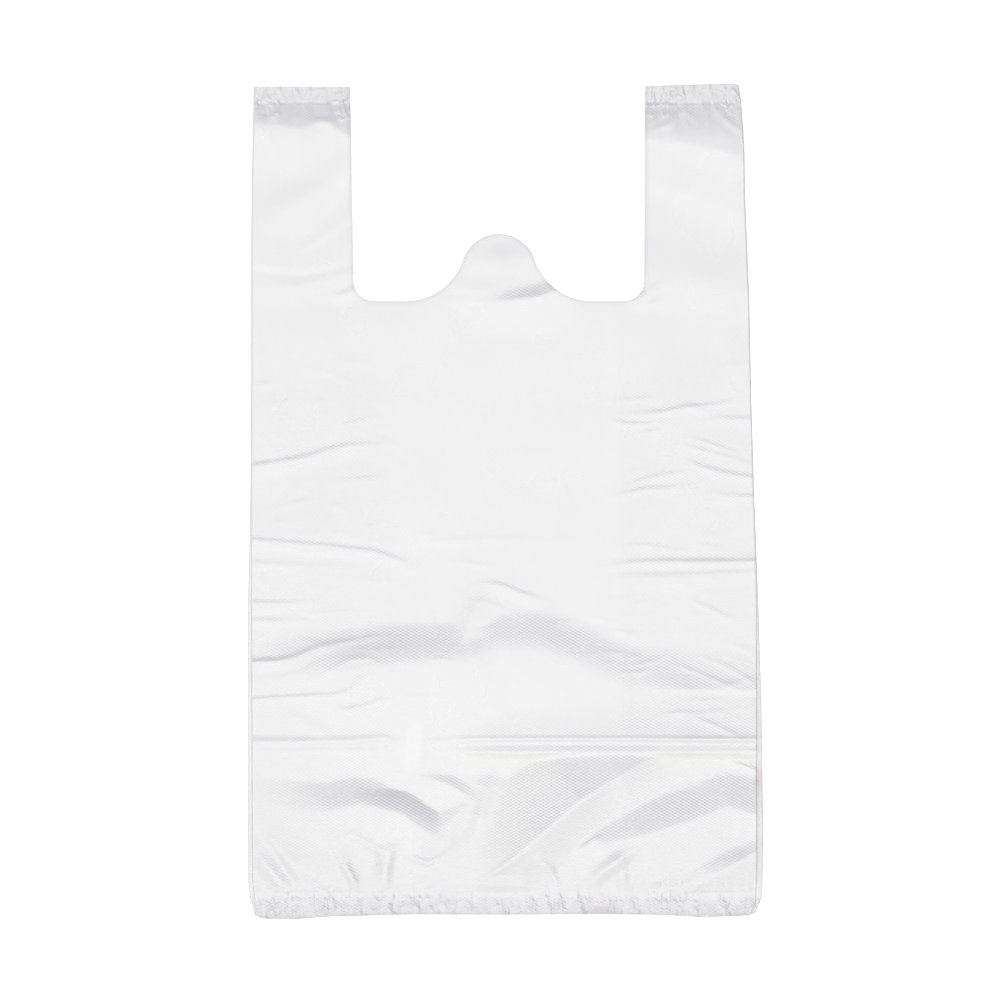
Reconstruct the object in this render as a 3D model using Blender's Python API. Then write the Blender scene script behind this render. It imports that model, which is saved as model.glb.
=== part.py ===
"""A thin-film t-shirt carrier bag, pressed flat and lying on its back.

The bag is one blown tube of film. The tube's two sides are tucked in as gussets, so that it
presses flat to four plies at the sides and two plies in the middle. A weld across each end closes
it, with a skirt of loose film beyond the weld. A die then cuts the space between the handles,
through every ply at once, and leaves a round tab standing in the mouth.

X runs across the bag, +Y towards the handles, +Z up from the surface that the bag lies on.
The origin is the middle of that footprint. Lengths are in metres.
"""

import math
from collections import namedtuple

import bmesh
import bpy

# The bag as it is pressed flat
FACE_WIDTH = 0.300
BAG_LENGTH = 0.495
GUSSET_DEPTH = 0.078
FILM = 0.0001

# The air between the plies, away from the welds and at the welds
PLY_GAP = 0.0003
WELD_GAP = 0.0001
AIR_RUN = 0.022

# The welds, and the loose skirts beyond them
WELD_WIDTH = 0.002
WELD_MARGIN = 0.0005
BOTTOM_SKIRT = 0.013
HANDLE_SKIRT = 0.009
RIPPLE_RISE = 0.0007
RIPPLE_PITCH = 0.034

# The die cut between the handles
HANDLE_WIDTH = 0.0635
CUT_DEPTH = 0.129
CUT_CORNER_RADIUS = 0.012
TAB_HEIGHT = 0.040
TAB_RADIUS = 0.0225
TAB_ROOT_RADIUS = 0.0355
DIE_OVERRUN = 0.005
CORNER_FACETS = 4
ROOT_FACETS = 6
DOME_FACETS = 12

# How the bag lies: its handles lean to the left and are drawn in, its back shows past its front
LEAN = 0.005
LEAN_START = 0.3
DRAW_IN = 0.0052
FAN_OUT = 0.0032
FAN_SPAN = (0.15, 0.62)
WELD_PULL = 0.0040

# The sheet's grid: columns across each ply, and the distance between its rows
FACE_SIDE_COLUMNS = 9
FACE_MIDDLE_COLUMNS = 16
GUSSET_COLUMNS = 4
HALF_BACK_COLUMNS = 4
SETTLE_RUN = 0.006
LOWER_ROW_PITCH = 0.0098
UPPER_ROW_PITCH = 0.0150
UPPER_START = 0.42

# The gusset's upper ply takes this share of the front's lift
GUSSET_SHARE = 0.75
# Folds join with this power, so that two that cross don't stand on each other
FOLD_POWER = 4.0

FILM_COLOUR = (0.87, 0.87, 0.88, 1.0)
FILM_ROUGHNESS = 0.32

HALF_LENGTH = BAG_LENGTH / 2
BOTTOM_WELD_Y = BOTTOM_SKIRT - HALF_LENGTH
TOP_WELD_Y = HALF_LENGTH - HANDLE_SKIRT - WELD_WIDTH
CUT_FLOOR_Y = HALF_LENGTH - CUT_DEPTH
CUT_HALF_WIDTH = FACE_WIDTH / 2 - HANDLE_WIDTH

# A fold's crest runs from start to end, given as (share of the half width, share of the length
# from the bottom edge). It falls away over one distance up the bag and over another down it.
Fold = namedtuple("Fold", "start end rise up down")
FOLDS = (
    # the bulges above the bottom weld
    Fold((-0.96, 0.138), (-0.62, 0.145), 0.0026, 0.011, 0.030),
    Fold((-0.62, 0.145), (-0.40, 0.132), 0.0032, 0.011, 0.032),
    Fold((-0.40, 0.132), (-0.25, 0.096), 0.0030, 0.012, 0.024),
    Fold((0.38, 0.082), (0.72, 0.120), 0.0030, 0.012, 0.028),
    Fold((0.72, 0.120), (0.96, 0.145), 0.0028, 0.014, 0.030),
    Fold((0.72, 0.040), (0.96, 0.082), 0.0020, 0.008, 0.010),
    # the long slanting fold between them
    Fold((0.02, 0.058), (0.56, 0.190), 0.0034, 0.026, 0.009),
    # the flat pleat right across the bag
    Fold((-0.98, 0.208), (-0.42, 0.207), 0.0013, 0.008, 0.006),
    Fold((-0.28, 0.205), (0.98, 0.207), 0.0015, 0.009, 0.006),
    # the arch over the middle
    Fold((-0.96, 0.300), (-0.48, 0.304), 0.0024, 0.012, 0.026),
    Fold((-0.48, 0.304), (-0.10, 0.335), 0.0032, 0.016, 0.036),
    Fold((-0.10, 0.335), (0.16, 0.340), 0.0030, 0.018, 0.040),
    Fold((0.16, 0.340), (0.44, 0.312), 0.0030, 0.016, 0.036),
    Fold((0.44, 0.312), (0.96, 0.318), 0.0022, 0.018, 0.030),
    # the creases that run in from the side edges
    Fold((-1.00, 0.448), (-0.32, 0.424), 0.0012, 0.007, 0.014),
    Fold((-1.00, 0.540), (-0.50, 0.570), 0.0012, 0.009, 0.016),
    Fold((0.44, 0.422), (1.00, 0.428), 0.0013, 0.007, 0.014),
    Fold((0.48, 0.510), (1.00, 0.536), 0.0011, 0.009, 0.014),
    Fold((0.30, 0.612), (1.00, 0.608), 0.0011, 0.009, 0.014),
    # the film standing off below the handles' welds
    Fold((-0.98, 0.938), (-0.62, 0.940), 0.0024, 0.014, 0.050),
    Fold((0.58, 0.930), (0.98, 0.920), 0.0026, 0.016, 0.050),
)


def smooth(share):
    """A smooth rise from 0 to 1 as share goes from 0 to 1."""
    share = min(max(share, 0.0), 1.0)
    return share * share * (3 - 2 * share)


def along(y):
    """How far up the bag y is: 0 at the bottom edge, 1 at the tops of the handles."""
    return (y + HALF_LENGTH) / BAG_LENGTH


def lean(y):
    """How far to the side the bag's middle lies at y."""
    return -LEAN * max(0.0, (along(y) - LEAN_START) / (1 - LEAN_START))


def beyond_weld(y):
    """How far y is into a skirt: 0 at the weld, 1 at the skirt's edge."""
    below = (BOTTOM_WELD_Y - WELD_MARGIN - y) / BOTTOM_SKIRT
    above = (y - TOP_WELD_Y - WELD_WIDTH - WELD_MARGIN) / HANDLE_SKIRT
    return smooth(max(below, above))


def front_half_width(y):
    """From the middle to the fold between the front and a gusset."""
    return FACE_WIDTH / 2 - DRAW_IN * along(y) ** 3 - WELD_PULL * beyond_weld(y)


def back_half_width(y):
    """From the middle to the fold between the back and a gusset."""
    start, end = FAN_SPAN
    return front_half_width(y) + FAN_OUT * smooth((end - along(y)) / (end - start))


def aired(y):
    """How free the plies are of the welds: 0 at a weld and beyond it, 1 well away from both."""
    nearer = min(y - BOTTOM_WELD_Y - WELD_WIDTH, TOP_WELD_Y - y) - WELD_MARGIN
    return smooth(nearer / AIR_RUN)


def ply_pitch(y):
    """From the middle of one ply to the middle of the next."""
    return FILM + WELD_GAP + (PLY_GAP - WELD_GAP) * aired(y)


def fold_rise(fold, x, y):
    """How far one fold lifts the front. x is measured from the bag's own middle line."""
    start_x, start_y = fold.start[0] * FACE_WIDTH / 2, fold.start[1] * BAG_LENGTH
    run_x = fold.end[0] * FACE_WIDTH / 2 - start_x
    run_y = fold.end[1] * BAG_LENGTH - start_y
    run = math.hypot(run_x, run_y)
    from_x, from_y = x - start_x, y + HALF_LENGTH - start_y
    lengthwise = (from_x * run_x + from_y * run_y) / run
    across = (from_y * run_x - from_x * run_y) / run
    reach = fold.up if across > 0 else fold.down
    beyond = max(0.0, -lengthwise, lengthwise - run)
    end_reach = (fold.up + fold.down) / 2
    return fold.rise * math.exp(-((across / reach) ** 2) - (beyond / end_reach) ** 2)


def lift(x, y):
    """How far the front stands off the plies under it: the folds, and the skirts' ripples."""
    folds = sum(fold_rise(fold, x, y) ** FOLD_POWER for fold in FOLDS) ** (1 / FOLD_POWER)
    wave = math.sin(math.tau * x / RIPPLE_PITCH) + math.sin(math.pi * x / RIPPLE_PITCH + 1)
    ripple = RIPPLE_RISE * (1 + wave / 2) * beyond_weld(y)
    return folds * aired(y) + ripple


def face_height(x, y):
    """The front's middle surface: three plies lie under its sides, and one under its middle."""
    tuck = front_half_width(y) - GUSSET_DEPTH
    on_gusset = smooth((abs(x) - tuck + SETTLE_RUN) / SETTLE_RUN)
    return FILM / 2 + ply_pitch(y) * (1 + 2 * on_gusset) + lift(x, y)


def gusset_height(x, y):
    """The middle surface of the gusset's upper ply, which lifts a little less than the front."""
    return FILM / 2 + ply_pitch(y) * 2 + lift(x, y) * GUSSET_SHARE


def spread(start, end, count):
    """count + 1 evenly spaced values from start to end."""
    return [start + (end - start) * i / count for i in range(count + 1)]


def side_section(side, y):
    """One side of the tube at y as (x, z), from the middle of the back to the front's fold."""
    pitch = ply_pitch(y)
    front, back = front_half_width(y), back_half_width(y)
    tuck = front - GUSSET_DEPTH
    back_z = FILM / 2
    under_z = back_z + pitch
    tuck_z = (under_z + gusset_height(side * tuck, y)) / 2
    front_z = (gusset_height(side * front, y) + face_height(side * front, y)) / 2
    points = [(side * x, back_z) for x in spread(0.0, back, HALF_BACK_COLUMNS)]
    points += [(side * (back + pitch / 2), back_z + pitch / 2)]
    points += [(side * x, under_z) for x in spread(back, tuck, GUSSET_COLUMNS)]
    points += [(side * (tuck - pitch / 2), tuck_z)]
    over = [side * x for x in spread(tuck, front, GUSSET_COLUMNS)]
    points += [(x, gusset_height(x, y)) for x in over]
    points += [(side * (front + pitch / 2), front_z)]
    return points


def face_section(y):
    """The front at y as (x, z), from its right fold to its left fold."""
    half = front_half_width(y)
    tuck = half - GUSSET_DEPTH
    settled = tuck - SETTLE_RUN
    columns = spread(half, tuck, FACE_SIDE_COLUMNS)
    columns += spread(settled, -settled, FACE_MIDDLE_COLUMNS)
    columns += spread(-tuck, -half, FACE_SIDE_COLUMNS)
    return [(x, face_height(x, y)) for x in columns]


def tube_section(y):
    """The film's middle line right round the tube at y, as (x, y, z). Its ends meet."""
    ring = side_section(1, y) + face_section(y) + side_section(-1, y)[::-1]
    return [(x + lean(y), y, z) for x, z in ring]


def weld_section(y):
    """The weld's outline at y: from the back's middle surface up to the front's."""
    half = front_half_width(y) - WELD_MARGIN
    columns = [half] + [x for x, z in face_section(y)[1:-1]] + [-half]
    outline = [(half, FILM / 2)] + [(x, face_height(x, y)) for x in columns] + [(-half, FILM / 2)]
    return [(x + lean(y), y, z) for x, z in outline]


def row_positions():
    """The y of every row of the sheet, with a row just outside each edge of each weld."""
    weld_top = BOTTOM_WELD_Y + WELD_WIDTH + WELD_MARGIN
    next_weld = TOP_WELD_Y - WELD_MARGIN
    upper_y = UPPER_START * BAG_LENGTH - HALF_LENGTH
    lower_count = round((upper_y - weld_top) / LOWER_ROW_PITCH)
    upper_count = round((next_weld - upper_y) / UPPER_ROW_PITCH)
    rows = spread(-HALF_LENGTH, BOTTOM_WELD_Y - WELD_MARGIN, 3)
    rows += spread(weld_top, upper_y, lower_count)
    rows += spread(upper_y, next_weld, upper_count)[1:]
    rows += spread(next_weld + WELD_WIDTH + 2 * WELD_MARGIN, HALF_LENGTH, 2)
    return rows


def new_object(name, mesh_data):
    """An object in the scene that holds the finished mesh."""
    mesh = bpy.data.meshes.new(name)
    bmesh.ops.recalc_face_normals(mesh_data, faces=mesh_data.faces)
    mesh_data.to_mesh(mesh)
    mesh_data.free()
    thing = bpy.data.objects.new(name, mesh)
    bpy.context.scene.collection.objects.link(thing)
    return thing


def new_cutter(name, mesh_data):
    """An object that only shapes another one."""
    thing = new_object(name, mesh_data)
    thing.hide_render = True
    thing.display_type = "WIRE"
    return thing


def film_sheet():
    """The tube's middle surface, made from a grid with one column for each point of the section."""
    sections = [tube_section(y) for y in row_positions()]
    columns, rows = len(sections[0]) - 1, len(sections) - 1
    sheet = bmesh.new()
    bmesh.ops.create_grid(sheet, x_segments=columns, y_segments=rows, size=0.5)
    for vert in sheet.verts:
        column = round((vert.co.x + 0.5) * columns)
        row = round((vert.co.y + 0.5) * rows)
        vert.co = sections[row][column]
    # the first and last columns are the same line down the middle of the back
    bmesh.ops.remove_doubles(sheet, verts=sheet.verts, dist=FILM / 100)
    return sheet


def add_weld(mesh_data, start_y, end_y):
    """A bar of film welded solid from the back to the front, between two rows."""
    ends = []
    for y in (start_y, end_y):
        verts = [mesh_data.verts.new(point) for point in weld_section(y)]
        mesh_data.faces.new(verts)
        ends.append(verts)
    count = len(ends[0])
    for i in range(count):
        j = (i + 1) % count
        mesh_data.faces.new((ends[0][i], ends[0][j], ends[1][j], ends[1][i]))


def weld_bars():
    """The bottom weld, and the weld across the tops of both handles before they are cut apart."""
    bars = bmesh.new()
    add_weld(bars, BOTTOM_WELD_Y, BOTTOM_WELD_Y + WELD_WIDTH)
    add_weld(bars, TOP_WELD_Y, TOP_WELD_Y + WELD_WIDTH)
    return bars


def arc(centre, radius, start, end, facets):
    """Points on an arc between two angles in degrees."""
    angles = [math.radians(a) for a in spread(start, end, facets)]
    return [(centre[0] + radius * math.cos(a), centre[1] + radius * math.sin(a)) for a in angles]


def die_outline():
    """The cut's outline, from the right handle's top down round the tab to the left handle's."""
    top = CUT_DEPTH + DIE_OVERRUN
    corner = CUT_CORNER_RADIUS
    dome_y = TAB_HEIGHT - TAB_RADIUS
    reach = TAB_RADIUS + TAB_ROOT_RADIUS
    root_x = math.sqrt(reach ** 2 - (TAB_ROOT_RADIUS - dome_y) ** 2)
    join = math.degrees(math.asin((TAB_ROOT_RADIUS - dome_y) / reach))
    half = [(CUT_HALF_WIDTH, top)]
    half += arc((CUT_HALF_WIDTH - corner, corner), corner, 0, -90, CORNER_FACETS)
    half += arc((root_x, TAB_ROOT_RADIUS), TAB_ROOT_RADIUS, 270, 180 + join, ROOT_FACETS)
    half += arc((0.0, dome_y), TAB_RADIUS, join, 90, DOME_FACETS // 2)[1:]
    return half + [(-x, y) for x, y in half[-2::-1]]


def die():
    """The block that cuts the space between the handles."""
    middle = lean(CUT_FLOOR_Y + CUT_DEPTH / 2)
    block = bmesh.new()
    outline = [(x + middle, y + CUT_FLOOR_Y, -DIE_OVERRUN) for x, y in die_outline()]
    face = block.faces.new([block.verts.new(point) for point in outline])
    risen = bmesh.ops.extrude_face_region(block, geom=[face])["geom"]
    top = [item for item in risen if isinstance(item, bmesh.types.BMVert)]
    bmesh.ops.translate(block, verts=top, vec=(0.0, 0.0, 4 * DIE_OVERRUN))
    return block


def film_material():
    """Milky white film."""
    material = bpy.data.materials.new("film")
    material.use_nodes = True
    surface = material.node_tree.nodes["Principled BSDF"]
    surface.inputs["Base Color"].default_value = FILM_COLOUR
    surface.inputs["Roughness"].default_value = FILM_ROUGHNESS
    return material


def add_boolean(thing, name, operation, other):
    """A live boolean with another object."""
    boolean = thing.modifiers.new(name, "BOOLEAN")
    boolean.operation = operation
    boolean.solver = "EXACT"
    boolean.object = other


def build_bag():
    """The bag: the tube given its thickness, welded and cut."""
    bag = new_object("bag", film_sheet())
    bag.data.materials.append(film_material())
    thicken = bag.modifiers.new("film", "SOLIDIFY")
    thicken.thickness = FILM
    thicken.offset = 0.0
    thicken.use_even_offset = True
    add_boolean(bag, "welds", "UNION", new_cutter("weld_bars", weld_bars()))
    add_boolean(bag, "die_cut", "DIFFERENCE", new_cutter("die", die()))
    return bag


def clear_scene():
    """Remove whatever the scene holds."""
    for thing in list(bpy.data.objects):
        bpy.data.objects.remove(thing, do_unlink=True)


def main():
    clear_scene()
    build_bag()


main()
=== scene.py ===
"""The looks of a film t-shirt bag that lies pressed flat: its film, its folds, and the light.

The bag is one tube of embossed film, drawn as one sheet. The sheet starts as a grid of the tube
cut open down the middle of its back, is laid in its plies, takes its folds, and is cut by the die.
Lengths are in metres, apart from the tables of edges and rumples, which are in millimetres, and
the tables of folds, which are in the photograph's pixels.
"""

import math
from collections import namedtuple

import bmesh
import bpy
import numpy as np
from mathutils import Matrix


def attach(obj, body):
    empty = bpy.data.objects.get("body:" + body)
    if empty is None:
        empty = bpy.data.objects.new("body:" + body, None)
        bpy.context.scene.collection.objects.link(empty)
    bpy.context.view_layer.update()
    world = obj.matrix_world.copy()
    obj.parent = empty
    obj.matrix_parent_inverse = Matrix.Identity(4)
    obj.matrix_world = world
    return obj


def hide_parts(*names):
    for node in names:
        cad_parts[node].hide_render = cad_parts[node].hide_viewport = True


bl_info = {
    "name": "Film T-shirt Bag",
    "version": (1, 0, 0),
    "blender": (4, 5, 0),
    "location": "3D View > Sidebar > T-shirt Bag",
    "description": "Builds a pressed flat film carrier bag and a plain studio round it",
    "category": "Add Mesh",
}

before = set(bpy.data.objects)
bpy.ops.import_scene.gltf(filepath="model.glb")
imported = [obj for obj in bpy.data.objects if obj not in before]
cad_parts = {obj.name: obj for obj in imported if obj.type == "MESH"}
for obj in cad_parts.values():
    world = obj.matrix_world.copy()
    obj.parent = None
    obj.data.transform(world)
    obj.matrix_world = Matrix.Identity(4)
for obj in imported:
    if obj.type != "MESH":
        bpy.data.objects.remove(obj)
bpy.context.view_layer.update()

MM = 0.001
# The higher, the closer the joined large folds follow the highest of them
SWELL_JOIN = 6

# The folds were picked on the photograph: the size of one of its pixels in millimetres,
# and the pixel (across, down) that lies over the frame's origin
PIXEL = 0.595
ORIGIN_PIXEL = (505.5, 500.5)

# A fold's crest goes through its points, each (pixels across, pixels down, how many millimetres
# high the film stands there). Its sides fall away over one distance to the left of its way and
# another to the right, in pixels. A crest of 1 is sharp and one of 2 is round, and so is the foot
# of its sides.
Fold = namedtuple("Fold", "name points left right crest foot")

# The large folds, which join without standing on each other
SWELLS = (
    Fold("arch", ((246, 686, 0.4), (300, 677, 1.5), (330, 673, 2.3), (385, 666, 3.2),
        (440, 663, 3), (480, 659, 2.6), (500, 651, 2.45), (540, 652, 2.45), (575, 664, 2.35),
        (620, 686, 2), (680, 692, 1.4), (740, 693, 1), (768, 694, 0.7)), 44, 150, 1.6, 1.7),
    Fold("pleat rise", ((428, 738.5, 0.8), (480, 739, 2.2), (560, 739, 2.8), (640, 739, 2.8),
        (700, 739.5, 2.4), (758, 740, 2.1)), 84, 5, 1, 1.1),
    Fold("pleat strip", ((430, 751.5, 0.9), (480, 752, 1.9), (560, 752, 2.4), (640, 752, 2.5),
        (700, 752, 2.2), (758, 752, 1.9)), 37, 11, 1, 1),
    Fold("arch peak", ((452, 664, 1.4), (463, 640, 1.7), (474, 614, 1.2), (487, 588, 0.25)),
        22, 46, 1.2, 1.6),
    Fold("spring fold", ((312, 680, 1.2), (330, 671, 1.9), (352, 659, 2.3), (370, 658, 2.35),
        (386, 667, 1.9)), 13, 24, 1, 1.1),
    Fold("left lobe", ((246, 800, 0.5), (270, 806, 1.1), (300, 811, 1.9), (330, 812, 2.6),
        (352, 806, 2.7)), 36, 72, 1.5, 1.3),
    Fold("left lobe b", ((338, 809, 2.54), (362, 804, 3.07), (400, 813, 3.29), (425, 831, 2.86),
        (443, 840, 1.27)), 24, 60, 1.3, 1),
    Fold("dark wedge", ((403, 775, 0.2), (425, 777, 0.9), (450, 785, 1.5), (476, 803, 0.9)),
        18, 34, 1.1, 1.3),
    Fold("step", ((436, 838, 1.2), (448, 825, 1.42), (463, 809, 1.35), (480, 797, 0.68)),
        20, 24, 1.1, 1.2),
    Fold("upright", ((462, 864, 0.5), (473, 842, 1.8), (481, 816, 2.4), (487, 790, 1.4)),
        24, 28, 1.1, 1.3),
    Fold("slanting ridge", ((468, 887, 0.5), (490, 874, 2.6), (515, 856, 5), (540, 836, 6.2),
        (580, 801, 6.1), (620, 776, 4.3), (657, 755, 1.7)), 71, 46, 1, 1.2),
    Fold("right lobe", ((578, 858, 1.2), (600, 845, 2.7), (640, 836, 3.5), (700, 818, 3.4),
        (728, 806, 3.1), (762, 818, 2.8)), 42, 70, 1.2, 1.4),
    Fold("corner stroke", ((676, 898, 0.8), (686, 891, 2), (697, 886, 2.8), (716, 875, 3.1),
        (736, 863, 3.2), (762, 848, 3.1)), 27, 40, 1, 1.1),
    Fold("left handle's top", ((247, 124, 1.13), (275, 124, 1.27), (290, 127, 1.42),
        (302, 130, 1.5), (312, 125, 1.43), (322, 121, 1.38), (334, 127, 1.45), (354, 140, 1.7)),
        56, 52, 1, 1.1),
    Fold("right handle's top", ((640, 139, 1.46), (672, 142, 1.53), (700, 146, 1.6),
        (720, 151, 1.64), (746, 160, 1.66)), 66, 58, 1, 1.1),
)

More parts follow.
